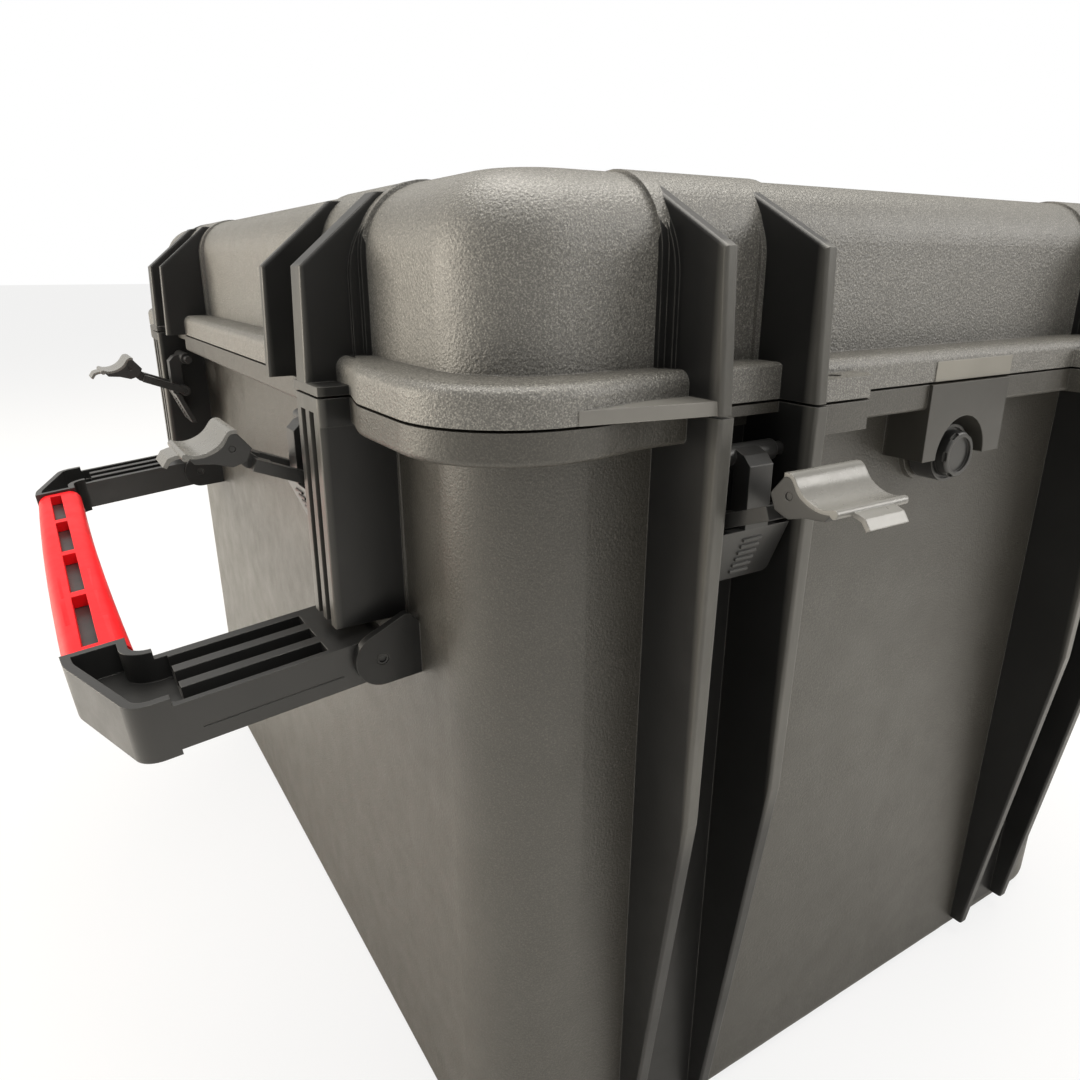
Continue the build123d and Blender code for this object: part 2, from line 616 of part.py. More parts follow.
def hinge_leaf():
    """Lid knuckle between the base ribs, with two thin ribs up the back of the lid."""
    half = BAY_W / 2 - HINGE_SIDE_GAP
    barrel = side_rod(HINGE_OUT, HINGE_Z, HINGE_BARREL_R, -half, half)
    inside = HINGE_OUT - HINGE_BARREL_R
    top = LID_BOTTOM_Z + LID_FLANGE_H - 2
    arm = side_prism([(inside, HINGE_Z), (HINGE_OUT + HINGE_BARREL_R, HINGE_Z),
                      (HINGE_OUT + HINGE_BARREL_R, top - 8), (HINGE_OUT, top), (FLANGE_OUT - 8, top),
                      (FLANGE_OUT - 8, LID_BOTTOM_Z + 1), (inside, LID_BOTTOM_Z + 1)], -half, half)
    leaf = barrel + arm
    for x_middle in (-half + HINGE_RIB_T / 2, half - HINGE_RIB_T / 2):
        leaf += lid_rib(x_middle, HINGE_RIB_T, LID_BOTTOM_Z + HINGE_SIDE_GAP, BACK_LID_RIB)
    return leaf


def make_seal():
    return ring_band(SEAL_OUT, SEAL_W, LID_BOTTOM_Z + SEAL_DEPTH - SEAL_H, LID_BOTTOM_Z + SEAL_DEPTH)


def make_hinge_pins():
    reach = RIB_PAIR_HALF - PIN_INSET
    return [place * side_rod(HINGE_OUT, HINGE_Z, HINGE_PIN_R, -reach, reach) for place in HINGES]


def make_latch_hinge_pins():
    reach = RIB_PAIR_HALF - PIN_COVER - PIN_INSET
    pin = side_rod(LEVER_OUT, LEVER_Z, LEVER_PIN_R, -reach, reach)
    return [place * pin for place in LATCHES.values()]


def plate_face(z):
    """Outer face of the lever's grip plate, which leans in from its top to its foot."""
    share = (LEVER_PLATE_TOP_Z - z) / (LEVER_PLATE_TOP_Z - LEVER_PLATE_BOTTOM_Z)
    return LEVER_FACE_OUT + (LEVER_FOOT_OUT - LEVER_FACE_OUT) * share


def make_lever():
    """Lever at its bay: eye on the hinge pin, thick strap, and the grip plate with its raised lines."""
    half = LEVER_STRAP_W / 2
    strap = side_prism([
        (LEVER_OUT, LEVER_TOP_Z + 1.8), (LEVER_FACE_OUT - 4, LEVER_TOP_Z - 1.5),
        (LEVER_FACE_OUT, LEVER_TOP_Z - 5.5),
        (LEVER_FACE_OUT, LEVER_PLATE_TOP_Z), (plate_face(LEVER_PLATE_TOP_Z - 2), LEVER_PLATE_TOP_Z - 2),
        (LEVER_FACE_OUT - LEVER_PLATE_T, LEVER_PLATE_TOP_Z - 2),
        (BAIL_OUT - 1, BAIL_Z - 3), (BAIL_OUT - 1, LEVER_Z - 6), (LEVER_OUT, LEVER_Z - LEVER_EYE_R)],
        -half, half)
    eye = side_rod(LEVER_OUT, LEVER_Z, LEVER_EYE_R, -LEVER_EYE_W / 2, LEVER_EYE_W / 2)
    barrel_half = BAIL_OUTER_W / 2 - BAIL_ARM_W - BAIL_SIDE_GAP
    barrel = side_rod(BAIL_OUT, BAIL_Z, BAIL_EYE_R, -barrel_half, barrel_half)
    plate = side_prism([
        (LEVER_FACE_OUT - LEVER_PLATE_T, LEVER_PLATE_TOP_Z), (LEVER_FACE_OUT, LEVER_PLATE_TOP_Z),
        (LEVER_FOOT_OUT, LEVER_PLATE_BOTTOM_Z), (LEVER_FOOT_OUT - LEVER_PLATE_T, LEVER_PLATE_BOTTOM_Z)],
        -LEVER_PLATE_W / 2, LEVER_PLATE_W / 2)
    corners = plate.edges().filter_by(Axis.Y, tolerance=0.3).filter_by(
        lambda edge: edge.center().Z < LEVER_PLATE_BOTTOM_Z + 1)
    plate = fillet(corners, PLATE_CORNER_R)
    lever = strap + eye + barrel + plate
    for line in range(GRIP_LINES):
        z = LEVER_PLATE_TOP_Z - GRIP_LINE_DROP - line * GRIP_LINE_PITCH
        lever += Pos(0, -plate_face(z), z) * Box(GRIP_LINE_W, 2 * GRIP_LINE_H, GRIP_LINE_PITCH * 0.4)
    lever -= side_rod(LEVER_OUT, LEVER_Z, LEVER_PIN_R + PIN_PLAY, -BAY_W, BAY_W)
    lever -= side_rod(BAIL_OUT, BAIL_Z, BAIL_PIN_R + PIN_PLAY, -BAY_W, BAY_W)
    return lever


def bail_point(along, above):
    """Point on the bail, measured along and square to its arms from the bail pin."""
    slope = radians(BAIL_SLOPE)
    return (BAIL_OUT + along * cos(slope) - above * sin(slope), BAIL_Z + along * sin(slope) + above * cos(slope))


def make_bail():
    """Two arms beside the lever, a web between them and a tongue that carries the hook."""
    arm = side_face([bail_point(0, -BAIL_T / 2), bail_point(BAIL_ARM_END, -BAIL_T / 2),
                     bail_point(BAIL_ARM_END, BAIL_T / 2), bail_point(0, BAIL_T / 2)])
    eye = side_disc(BAIL_OUT, BAIL_Z, BAIL_EYE_R)
    outer = BAIL_OUTER_W / 2
    bail = Part()
    for low in (-outer, outer - BAIL_ARM_W):
        bail += across(arm + eye, low, low + BAIL_ARM_W)
    web_start = BAIL_ARM_END - BAIL_WEB
    web = side_face([bail_point(web_start, -BAIL_T / 2), bail_point(BAIL_ARM_END, -BAIL_T / 2),
                     bail_point(BAIL_ARM_END, BAIL_T / 2), bail_point(web_start, BAIL_T / 2)])
    inner = LEVER_STRAP_W / 2 + BAIL_WEB_CLEAR
    bail += across(web, -outer + 1, -inner) + across(web, inner, outer - 1)
    tongue = side_face([bail_point(TONGUE_START, -BAIL_T / 2), bail_point(BAIL_ARM_END + 2, -BAIL_T / 2),
                        (HOOK_OUT + 1.5, HOOK_Z - HOOK_EYE_R + 0.3), (HOOK_OUT - 2, HOOK_Z + HOOK_EYE_R - 0.7),
                        bail_point(TONGUE_START, BAIL_T / 2)])
    eye_end = side_disc(HOOK_OUT, HOOK_Z, HOOK_EYE_R)
    bail += across(tongue + eye_end, -TONGUE_END_W / 2, TONGUE_END_W / 2)
    bail -= side_rod(BAIL_OUT, BAIL_Z, BAIL_PIN_R + PIN_PLAY, -BAY_W, BAY_W)
    bail -= side_rod(HOOK_OUT, HOOK_Z, HOOK_PIN_R + PIN_PLAY, -BAY_W, BAY_W)
    return bail


def make_bail_pin():
    reach = BAIL_OUTER_W / 2 - PIN_INSET
    return side_rod(BAIL_OUT, BAIL_Z, BAIL_PIN_R, -reach, reach)


def make_hook_pin():
    reach = HOOK_W / 2 - PIN_INSET
    return side_rod(HOOK_OUT, HOOK_Z, HOOK_PIN_R, -reach, reach)


def bowl_line(lowered):
    """Edges of the hook's bowl, from its ridge to its roll, lowered square to the surface by this much."""
    ridge = (-3.0, 8.7 - lowered)
    crest = (0.6 - 0.2 * lowered, 8.6 - lowered)
    flank = (4.3 - 0.75 * lowered, 4.3 - 0.75 * lowered)
    bottom = (10.5 - 0.2 * lowered, -0.1 - lowered)
    end = (HOOK_ROLL_AT - 0.7, -0.5 - lowered)
    points = [(-(HOOK_OUT + x), HOOK_Z + z) for x, z in (ridge, crest, flank, bottom, end)]
    return Spline(*points)


def hook_roll(radius):
    """Rolled end of the hook's plate."""
    return side_rod(HOOK_OUT + HOOK_ROLL_AT, HOOK_Z - HOOK_ROLL_DROP, radius, -HOOK_W / 2, HOOK_W / 2)


def make_hook_plate():
    """Grey plate of the hook: curved sheet, rolled end and finger tab."""
    top = bowl_line(0)
    under = bowl_line(HOOK_PLATE_T)
    sheet = make_face([top, under, Line(top @ 0, under @ 0), Line(top @ 1, under @ 1)])
    plate = across(Plane.YZ * sheet, -HOOK_W / 2, HOOK_W / 2) + hook_roll(HOOK_ROLL_R)
    tab_line = [(-0.4, -1.6), (3.5, -2.2), (6.6, -3.2), (9.2, -7.0),
                (7.6, -8.0), (5.2, -4.9), (3.0, -4.1), (-0.4, -3.6)]
    tab = side_face([(HOOK_OUT + HOOK_ROLL_AT + x, HOOK_Z + z) for x, z in tab_line])
    return plate + across(tab, -HOOK_TAB_W / 2, HOOK_TAB_W / 2)


def make_hook_cradle():
    """Black cradle under the plate: two cheeks on the hook pin and a web between them."""
    under = bowl_line(HOOK_PLATE_T)
    start = under @ 0
    end = under @ 1
    low_line = [(17.4, -5.6), (8.7, -6.4), (0.6, -8.8), (-6.2, -6.6), (-9.0, -0.5)]
    low = [(-(HOOK_OUT + x), HOOK_Z + z) for x, z in low_line]
    edge = Polyline([(end.X, end.Y)] + low + [(start.X, start.Y)])
    cheek = Plane.YZ * make_face([under, edge])
    inner = TONGUE_END_W / 2 + HOOK_CHEEK_GAP
    outer = HOOK_W / 2
    cradle = across(cheek, -outer, -inner) + across(cheek, inner, outer)
    web_box = Plane.YZ * (Pos(-(HOOK_OUT + 12.5), HOOK_Z - 3) * Rectangle(13, 14))
    cradle += across(cheek & web_box, -inner - 0.5, inner + 0.5)
    cradle -= hook_roll(HOOK_ROLL_R)
    return cradle - side_rod(HOOK_OUT, HOOK_Z, HOOK_PIN_R + PIN_PLAY, -BAY_W, BAY_W)


def handle_place(side):
    """Local frame of a handle: x along the wall, -y outwards, z up from the pivot line, drooped as stored."""
    sign = -1 if side == "left" else 1
    return Location((sign * (BODY_X / 2 + PIVOT_OUT), 0, PIVOT_Z), (0, 0, sign * 90)) * Rot(HANDLE_DROOP, 0, 0)


ARM_MIDDLE = LATCH_Y + COLUMN_AT - ARM_SHIFT
FRAME_HALF = ARM_MIDDLE + ARM_W / 2
GRIP_HALF = GRIP_LENGTH / 2
END_REACH = HANDLE_REACH - GRIP_BOW


def bowed_plan(inner, outer, half, fit):
    """Bowed strip in plan, from the inner to the outer reach at mid length, drawn in by fit at its sides."""
    a, b = inner - fit, outer + fit
    edges = [
        ThreePointArc((-half, -(b - GRIP_BOW)), (0, -b), (half, -(b - GRIP_BOW))),
        ThreePointArc((-half, -(a - GRIP_BOW)), (0, -a), (half, -(a - GRIP_BOW))),
        Line((-half, -(b - GRIP_BOW)), (-half, -(a - GRIP_BOW))),
        Line((half, -(b - GRIP_BOW)), (half, -(a - GRIP_BOW))),
    ]
    return make_face(edges)


GRIP_MIDDLE = HANDLE_REACH - GRIP_W / 2


def core_block(fit, half):
    plan = bowed_plan(GRIP_MIDDLE - CORE_W / 2, GRIP_MIDDLE + CORE_W / 2, half, fit)
    middle = (GRIP_UP - GRIP_DOWN) / 2
    return Pos(0, 0, middle - CORE_H / 2 - fit) * extrude(plan, amount=CORE_H + 2 * fit)


def make_grip():
    """Red grip: bowed rounded sleeve with a row of windows in its top."""
    plan = bowed_plan(HANDLE_REACH - GRIP_W, HANDLE_REACH, GRIP_HALF, 0)
    grip = Pos(0, 0, -GRIP_DOWN) * extrude(plan, amount=GRIP_UP + GRIP_DOWN)
    long_edges = grip.edges().filter_by(lambda edge: edge.length > GRIP_HALF)
    grip = fillet(long_edges, GRIP_EDGE_R)
    grip -= core_block(CORE_FIT, GRIP_HALF + 1)
    pitch = (GRIP_LENGTH - WINDOW_BRIDGE) / WINDOWS
    for window in range(WINDOWS):
        x = (window - (WINDOWS - 1) / 2) * pitch
        grip -= Pos(x, -GRIP_MIDDLE, GRIP_UP) * Box(pitch - WINDOW_BRIDGE, WINDOW_W, 2 * WINDOW_DEPTH)
    return grip


def frame_plan():
    """Plan of one arm and corner of the handle frame, on the +x side."""
    inner_x = ARM_MIDDLE - ARM_W / 2
    end_face = GRIP_HALF + GRIP_END_GAP
    inner_reach = END_REACH - GRIP_W + FRAME_INNER_STEP
    return outline([
        (FRAME_HALF, 0, 0), (FRAME_HALF, -ARM_CORNER_REACH, ARM_CORNER_R),
        (FRAME_BEND_X, -(END_REACH - FRAME_BEND_BACK), FRAME_BEND_R), (end_face, -END_REACH, 0),
        (end_face, -inner_reach, 0), (inner_x, -inner_reach, FRAME_INNER_R), (inner_x, 0, 0),
    ])


def beyond(reach):
    """Everything in the handle's frame that lies further out than this reach."""
    size = 2 * (FRAME_HALF + HANDLE_REACH)
    return Pos(0, -reach - size / 2, 0) * Box(2 * size, size, size)


def layer(plan, low, high):
    return extrude(Pos(0, 0, low) * plan, amount=high - low)


def half_frame():
    """One arm and corner of the handle frame, with its raised lip, pocket and slots."""
    plan = frame_plan()
    arm = layer(plan, -ARM_DOWN, ARM_UP)
    eye = Rot(0, 90, 0) * Cylinder((ARM_UP + ARM_DOWN) / 2, ARM_W)
    arm += Pos(ARM_MIDDLE, 0, (ARM_UP - ARM_DOWN) / 2) * eye
    arm += layer(plan, -CORNER_DOWN, 0) & beyond(CORNER_START)
    arm += layer(plan, 0, LIP_UP) & beyond(LIP_START)
    hollow = offset(plan, -LIP_W, kind=Kind.INTERSECTION)
    arm -= layer(hollow, ARM_UP - POCKET_DEPTH, 2 * LIP_UP) & beyond(POCKET_START)
    slot_length = POCKET_START + LIP_W - SLOT_START
    for slot in range(ARM_SLOTS):
        x = FRAME_HALF - SLOT_WALL - SLOT_W / 2 - slot * SLOT_PITCH
        arm -= Pos(x, -SLOT_START - slot_length / 2, ARM_UP) * Box(SLOT_W, slot_length, 2 * SLOT_DEPTH)
    line_length = LINE_END - LINE_START
    return arm - Pos(FRAME_HALF, -LINE_START - line_length / 2, -LINE_DOWN) * Box(
        2 * LINE_DEPTH, line_length, LINE_H)


def make_handle_frame():
    half = half_frame()
    frame = half + mirror(half, about=Plane.YZ) + core_block(0, GRIP_HALF + 1)
    for x in (-ARM_MIDDLE, ARM_MIDDLE):
        frame -= Pos(x, 0, 0) * Rot(0, 90, 0) * Cylinder(PIVOT_R + PIN_PLAY, 2 * ARM_W)
    return frame


def make_pivot_pins(side):
    """Two headed pins through the ears and arms, each with a small socket in its head."""
    place = station(side, 0)
    pins = []
    reach = ARM_W / 2 + EAR_GAP + EAR_T - PIN_INSET
    for middle in (-ARM_MIDDLE, ARM_MIDDLE):
        pin = side_rod(PIVOT_OUT, PIVOT_Z, PIVOT_R, middle - reach, middle + reach)
        for end in (middle - reach, middle + reach):
            pin -= side_rod(PIVOT_OUT, PIVOT_Z, SOCKET_R, end - SOCKET_DEPTH, end + SOCKET_DEPTH)
        pins.append(place * pin)
    return pins


def valve_piece(solid):
    """Turns a piece drawn along +Z so that it points outwards from the front wall at the valve."""
    return Pos(VALVE_X, -BODY_Y / 2 - VALVE_SEAT_OUT, VALVE_Z) * Rot(90, 0, 0) * solid


def disc(radius, low, high):
    return Pos(0, 0, (low + high) / 2) * Cylinder(radius, high - low)


def make_valve_body():
    face = VALVE_RING_T + VALVE_FLANGE_T
    body = disc(VALVE_R, VALVE_RING_T, face)
    recess = disc(VALVE_R - VALVE_RIM, face - VALVE_RIM, face + 1)
    body -= recess - disc(VALVE_CAP_R, face - 2 * VALVE_RIM, face + 2)
    body += disc(VALVE_STEM_R, -VALVE_SEAT_OUT - WALL - VALVE_NUT_T - 3, VALVE_RING_T + 1)
    return valve_piece(body)


def make_valve_cap():
    low = VALVE_RING_T + VALVE_FLANGE_T
    cap = disc(VALVE_CAP_R, low, low + VALVE_CAP_T)
    cap = fillet(cap.faces().sort_by(Axis.Z)[-1].edges(), 1.5)
    cap -= disc(VALVE_CAP_R - VALVE_CAP_RIM, low + VALVE_CAP_T - 1.5, low + VALVE_CAP_T + 1)
    for step in PolarLocations(VALVE_CAP_R, VALVE_NOTCHES):
        cap -= step * (Pos(0, 0, low + VALVE_CAP_T) * Box(2.4, 5, 3.6))
    return valve_piece(cap)


def make_valve_ring():
    return valve_piece(disc(VALVE_R - 1.5, 0, VALVE_RING_T) - disc(VALVE_STEM_R + 2, -1, VALVE_RING_T + 1))


def make_valve_nut():
    inside = -VALVE_SEAT_OUT - WALL - lean_at(VALVE_Z - VALVE_NUT_R) - NUT_GAP
    plan = RegularPolygon(VALVE_NUT_R, 6)
    nut = Pos(0, 0, inside - VALVE_NUT_T) * extrude(plan, amount=VALVE_NUT_T)
    return valve_piece(nut - disc(VALVE_STEM_R + PIN_PLAY, inside - 2 * VALVE_NUT_T, inside + 1))


def write(name, shape):
    """One STEP file per piece; a list becomes one group of separate solids."""
    if isinstance(shape, list):
        shape = Compound(children=[solid for item in shape for solid in item.solids()])
    elif len(shape.solids()) == 1:
        shape = shape.solids()[0]
    else:
        shape = Compound(children=list(shape.solids()))
    shape.label = name
    export_step(shape, f"parts/{name}.step")


def main():
    os.makedirs("parts", exist_ok=True)
    write("base_shell", make_base())
    write("lid_shell", make_lid())
    write("lid_seal", make_seal())
    write("hinge_pins", make_hinge_pins())
    write("latch_hinge_pins", make_latch_hinge_pins())
    latch = {
        "lever": make_lever(), "bail": make_bail(), "bail_pin": make_bail_pin(),
        "hook_cradle": make_hook_cradle(), "hook_plate": make_hook_plate(), "hook_pin": make_hook_pin(),
    }
    for where, place in LATCHES.items():
        for piece, solid in latch.items():
            write(f"{where}_{piece}", place * solid)
    frame = make_handle_frame()
    grip = make_grip()
    for side in ("left", "right"):
        place = handle_place(side)
        write(f"{side}_handle_frame", place * frame)
        write(f"{side}_grip", place * grip)
        write(f"{side}_handle_pins", make_pivot_pins(side))
    write("valve_body", make_valve_body())
    write("valve_cap", make_valve_cap())
    write("valve_ring", make_valve_ring())
    write("valve_nut", make_valve_nut())


main()
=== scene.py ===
"""Looks of the waterproof transport case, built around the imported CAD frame."""

import json
import math

import bmesh
import bpy
from mathutils import Matrix, Vector

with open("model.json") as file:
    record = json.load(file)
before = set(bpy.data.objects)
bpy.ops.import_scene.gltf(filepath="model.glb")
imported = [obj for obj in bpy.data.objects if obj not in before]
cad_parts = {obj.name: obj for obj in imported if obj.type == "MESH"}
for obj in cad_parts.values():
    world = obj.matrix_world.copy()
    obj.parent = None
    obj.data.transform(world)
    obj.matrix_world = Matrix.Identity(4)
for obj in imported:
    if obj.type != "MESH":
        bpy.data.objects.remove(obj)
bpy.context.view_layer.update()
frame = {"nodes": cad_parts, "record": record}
nodes = frame["nodes"]
scene = bpy.context.scene

# Places on the solids that tell smooth trim from grained wall, in metres
BODY_X, BODY_Y = 0.551, 0.686
PARTING_Z = 0.4476
LID_BOTTOM_Z = 0.4487
FLANGE_TOP_Z = 0.4643
BASE_FLANGE_Z = 0.4346
LATCH_X, LATCH_Y = 0.16475, 0.19225
BAY_HALF, RIB_T, LID_RIB_T = 0.02325, 0.008, 0.0065
BAND_W = 0.0056
COLUMN_FAR = BAY_HALF + 0.036
LID_COLUMN_NEAR, LID_COLUMN_FAR = 0.02675, 0.04225
COLUMN_PLATE_H = 0.0045
FLANGE_OUT, CORNER_OUT = 0.0215, 0.028
RAMP_NEAR, RAMP_FAR = 0.05275, 0.07875
BAR_NEAR, BAR_H = 0.031, 0.0056
PATCH_HALF = 0.0331
EAR_BOTTOM_Z, EAR_FAR = 0.3, 0.08
TAB_LOW, TAB_HIGH = (-0.0366, -0.38, 0.4079), (0.0311, -0.3442, PARTING_Z)
# where the paler tone of the outermost faces starts and where it is full: partly scuffs, partly painted
# light
LIT_SCUFF_NEAR, LIT_SCUFF_FAR = 0.0325, 0.0365
RIB_ROOT, BASE_RIB_ROOT = -0.02, -0.004   # ribs reach this far into the wall
BAND_OUT = 0.006
PROUD = 0.001             # what stands out from a wall by more than this isn't the wall itself
SLACK = 0.0003

# Finish
EDGE_RADIUS = 0.0007
GRAIN_HEIGHT = 0.0004
CELLS_PER_M, FINE_PER_M = 820.0, 1500.0
DUSTY_SHINE = 0.15        # share of the sheen that is left on faces that look up


# Materials

class Graph:
    """A material's node tree, with short calls for the nodes used here."""

    def __init__(self, name):
        self.material = bpy.data.materials.new(name)
        self.material.use_nodes = True
        self.tree = self.material.node_tree
        self.tree.nodes.clear()
        self.shader = self.add("ShaderNodeBsdfPrincipled")
        output = self.add("ShaderNodeOutputMaterial")
        self.link(self.shader.outputs["BSDF"], output.inputs["Surface"])
        self.where = self.add("ShaderNodeTexCoord").outputs["Object"]

    def add(self, kind, **values):
        node = self.tree.nodes.new(kind)
        for key, value in values.items():
            setattr(node, key, value)
        return node

    def link(self, a, b):
        self.tree.links.new(a, b)

    def noise(self, scale, detail=2.0, rough=0.5, stretch=None):
        node = self.add("ShaderNodeTexNoise")
        node.inputs["Scale"].default_value = scale
        node.inputs["Detail"].default_value = detail
        node.inputs["Roughness"].default_value = rough
        place = self.where
        if stretch:
            mapping = self.add("ShaderNodeMapping")
            mapping.inputs["Scale"].default_value = stretch
            self.link(self.where, mapping.inputs["Vector"])
            place = mapping.outputs["Vector"]
        self.link(place, node.inputs["Vector"])
        return node.outputs["Fac"]

    def cells(self, scale, feature="F1"):
        node = self.add("ShaderNodeTexVoronoi", feature=feature)
        node.inputs["Scale"].default_value = scale
        self.link(self.where, node.inputs["Vector"])
        return node.outputs["Distance"]

    def math(self, operation, a, b=None, clamp=False):
        node = self.add("ShaderNodeMath", operation=operation, use_clamp=clamp)
        for socket, value in zip(node.inputs, (a, b)):
            if value is None:
                continue
            if isinstance(value, (int, float)):
                socket.default_value = value
            else:
                self.link(value, socket)
        return node.outputs["Value"]

    def span(self, value, low, high, to_low, to_high):
        node = self.add("ShaderNodeMapRange")
        limits = {"From Min": low, "From Max": high, "To Min": to_low, "To Max": to_high}
        for key, number in limits.items():
            node.inputs[key].default_value = number
        self.link(value, node.inputs["Value"])
        return node.outputs["Result"]

    def ramp(self, value, stops):
        node = self.add("ShaderNodeValToRGB")
        ramp = node.color_ramp
        while len(ramp.elements) < len(stops):
            ramp.elements.new(0.5)
        for element, (place, color) in zip(ramp.elements, stops):
            element.position = place
            element.color = (*color, 1.0)
        self.link(value, node.inputs["Fac"])
        return node.outputs["Color"]

    def mix(self, factor, a, b):
        node = self.add("ShaderNodeMix", data_type="RGBA")
        if isinstance(factor, (int, float)):
            node.inputs["Factor"].default_value = factor
        else:
            self.link(factor, node.inputs["Factor"])
        for socket, value in ((node.inputs[6], a), (node.inputs[7], b)):
            if isinstance(value, tuple):
                socket.default_value = (*value, 1.0)
            else:
                self.link(value, socket)
        return node.outputs[2]

    def bump(self, height, strength, distance, under=None):
        node = self.add("ShaderNodeBump")
        if isinstance(strength, (int, float)):
            node.inputs["Strength"].default_value = strength
        else:
            self.link(strength, node.inputs["Strength"])
        node.inputs["Distance"].default_value = distance
        self.link(height, node.inputs["Height"])
        if under is not None:
            self.link(under, node.inputs["Normal"])
        return node.outputs["Normal"]

    def position(self):
        node = self.add("ShaderNodeSeparateXYZ")
        self.link(self.where, node.inputs["Vector"])
        return node.outputs

    def within(self, value, low, high):
        """1 where a value lies between two bounds."""
        above = self.math("GREATER_THAN", value, low)
        return self.math("MULTIPLY", above, self.math("LESS_THAN", value, high))

    def in_box(self, low, high):
        parts = [self.within(axis, a, b) for axis, a, b in zip(self.position(), low, high)]
        return self.math("MULTIPLY", self.math("MULTIPLY", parts[0], parts[1]), parts[2])

    def beyond_walls(self):
        """Distance outwards from the walls' plan, in metres."""
        x, y, _ = self.position()
        out_x = self.math("SUBTRACT", self.math("ABSOLUTE", x), BODY_X / 2)
        out_y = self.math("SUBTRACT", self.math("ABSOLUTE", y), BODY_Y / 2)
        return self.math("MAXIMUM", out_x, out_y)

    def facing_up(self):
        """Upward part of the solid's own normal."""
        split = self.add("ShaderNodeSeparateXYZ")
        self.link(self.add("ShaderNodeTexCoord").outputs["Normal"], split.inputs["Vector"])
        return split.outputs["Z"]

    def edges(self, radius, low=0.02, high=0.16):
        """0 on flat faces, 1 on edges, and a normal that is rounded there."""
        bevel = self.add("ShaderNodeBevel", samples=4)
        bevel.inputs["Radius"].default_value = radius
        flat = self.add("ShaderNodeNewGeometry").outputs["Normal"]
        dot = self.add("ShaderNodeVectorMath", operation="DOT_PRODUCT")
        self.link(bevel.outputs["Normal"], dot.inputs[0])
        self.link(flat, dot.inputs[1])
        bent = self.math("SUBTRACT", 1.0, dot.outputs["Value"])
        return self.span(bent, low, high, 0.0, 1.0), bevel.outputs["Normal"]


def shade(color, factor):
    return tuple(c * factor for c in color)


def moulded(g, tone, rough, edge_color, wear_and_highlight):
    """Pale edges, partly rubbed wear and partly painted highlight, and uneven sheen for both finishes.
    Returns the tone and the rounded normal.
    """
    edge, rounded = g.edges(EDGE_RADIUS)
    patchy = g.span(g.noise(70.0, 4.0), 0.35, 0.65, 0.25, 1.0)
    # painted highlight: edges are made paler, partly as rubbed wear and partly to stand in for the light
    # they catch
    tone = g.mix(g.math("MULTIPLY", g.math("MULTIPLY", edge, patchy), wear_and_highlight), tone, edge_color)
    rub = g.noise(40.0, 5.0, 0.65)
    g.link(g.span(rub, 0.3, 0.7, rough - 0.05, rough + 0.07), g.shader.inputs["Roughness"])
    return tone, rounded


def grained(name, color, rough, grain, glint_and_shade, shine, smooth_box=None):
    """Leathery moulded grain of about a millimetre, with painted glints on its crests and painted shade in
    its hollows, but smooth and darker in smooth_box.
    """
    g = Graph(name)
    slow = g.noise(9.0, 3.0)
    cells = g.cells(CELLS_PER_M, "SMOOTH_F1")
    fine = g.noise(FINE_PER_M, 2.0, 0.6)
    height = g.math("ADD", g.math("MULTIPLY", cells, 0.9), g.math("MULTIPLY", fine, 0.7))
    tone = g.ramp(slow, [(0.3, shade(color, 0.95)), (0.7, shade(color, 1.05))])
    # painted glints on the grain's crests and painted shade in its hollows, both following the fine noise of
    # the bump
    painted_glint = g.span(fine, 0.5, 0.72, 0.0, glint_and_shade)
    painted_grain_shade = g.span(fine, 0.28, 0.47, glint_and_shade * 0.8, 0.0)
    tone = g.mix(painted_glint, tone, shade(color, 3.4))
    tone = g.mix(painted_grain_shade, tone, shade(color, 0.35))
    strength = grain
    if smooth_box:
        inside = g.in_box(*smooth_box)
        tone = g.mix(inside, tone, shade(color, 0.72))
        strength = g.math("MULTIPLY", g.math("SUBTRACT", 1.0, inside), grain)
    tone, rounded = moulded(g, tone, rough, shade(color, 3.0), 0.35)
    g.link(tone, g.shader.inputs["Base Color"])
    dusty = g.span(g.facing_up(), 0.75, 0.97, shine, DUSTY_SHINE * shine)
    g.link(dusty, g.shader.inputs["Specular IOR Level"])
    g.link(g.bump(height, strength, GRAIN_HEIGHT, rounded), g.shader.inputs["Normal"])
    return g.material


def satin(name, color, rough, edge_color, wear_and_highlight, shine=0.5, lit_scuff_tone=None, scratches=0.08):
    """Smooth moulded plastic with fine orange peel, pale edges (partly wear, partly painted highlight),
    scratches and a paler tone on the faces that stand furthest out, partly scuffs and partly painted light.
    """
    g = Graph(name)
    slow = g.noise(16.0, 3.0)
    tone = g.ramp(slow, [(0.3, shade(color, 0.85)), (0.7, shade(color, 1.15))])
    if lit_scuff_tone:
        # paler faces furthest from the wall: partly scuffs, partly painted light for the rib faces that
        # catch the lamps
        outer = g.span(g.beyond_walls(), LIT_SCUFF_NEAR, LIT_SCUFF_FAR, 0.0, 0.85)
        lit_rubbed = g.span(g.noise(55.0, 5.0, 0.7, stretch=(1.0, 1.0, 0.2)), 0.3, 0.7, 0.55, 1.0)
        tone = g.mix(g.math("MULTIPLY", outer, lit_rubbed), tone, lit_scuff_tone)
    tone, rounded = moulded(g, tone, rough, edge_color, wear_and_highlight)
    g.link(tone, g.shader.inputs["Base Color"])
    g.shader.inputs["Specular IOR Level"].default_value = shine
    peel = g.bump(g.noise(700.0, 2.0), 0.06, 0.0004, rounded)
    lines = g.span(g.noise(60.0, 6.0, 0.75, stretch=(0.3, 0.3, 5.0)), 0.62, 0.7, 0.0, 1.0)
    g.link(g.bump(lines, scratches, 0.0003, peel), g.shader.inputs["Normal"])
    return g.material


